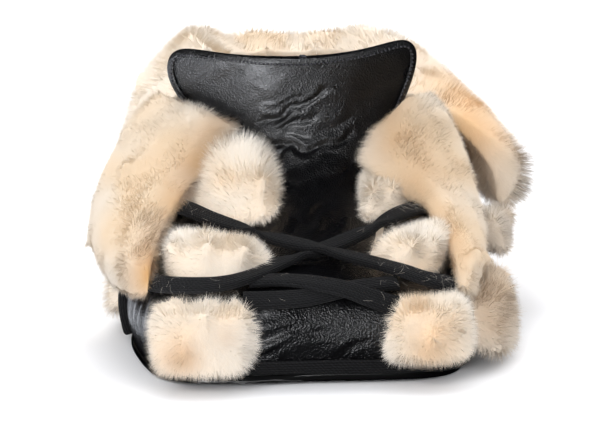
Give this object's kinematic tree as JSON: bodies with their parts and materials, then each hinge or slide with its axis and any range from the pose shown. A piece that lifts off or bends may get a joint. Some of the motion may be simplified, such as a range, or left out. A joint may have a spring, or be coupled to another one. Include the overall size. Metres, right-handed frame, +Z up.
{
  "type": "lace-up boot",
  "caption": "Low lace-up boot with a tall flared leather tongue, a flat sole, folded shearling cuffs and shearling pads pinched between woven tape laces.",
  "frame": {"origin": "middle of the bottom of the whole boot's bounding box", "axes": "+Z up, toe towards -Y, outer side of the foot towards +X"},
  "size_m": [0.172, 0.3, 0.1107],
  "materials": {
    "leather": "semi-gloss pebbled black leather",
    "sole_leather": "polished black sole leather",
    "tape": "matt black woven tape",
    "shearling": "cream shearling with peach roots"
  },
  "bodies": {
    "root": {"outsole": "sole_leather", "insole": "shearling", "upper": "leather", "tongue": "leather", "tongue_binding": "leather", "rand_tape": "tape", "side_binding": "tape", "lace_front": "tape", "lace_wrap_low": "tape", "lace_wrap_high": "tape", "cuff_outer_back": "shearling", "cuff_inner_back": "shearling", "cuff_inner_front": "shearling", "cuff_outer_front": "shearling", "wool_inner_low": "shearling", "wool_inner_mid": "shearling", "wool_inner_high": "shearling", "wool_outer_low": "shearling", "wool_outer_mid": "shearling", "wool_outer_high": "shearling", "wool_inner_side_low": "shearling", "wool_inner_side_mid": "shearling", "wool_outer_side_low": "shearling", "wool_outer_heel_low": "shearling", "wool_outer_side_mid": "shearling", "wool_outer_heel_mid": "shearling"}
  },
  "joints": []
}
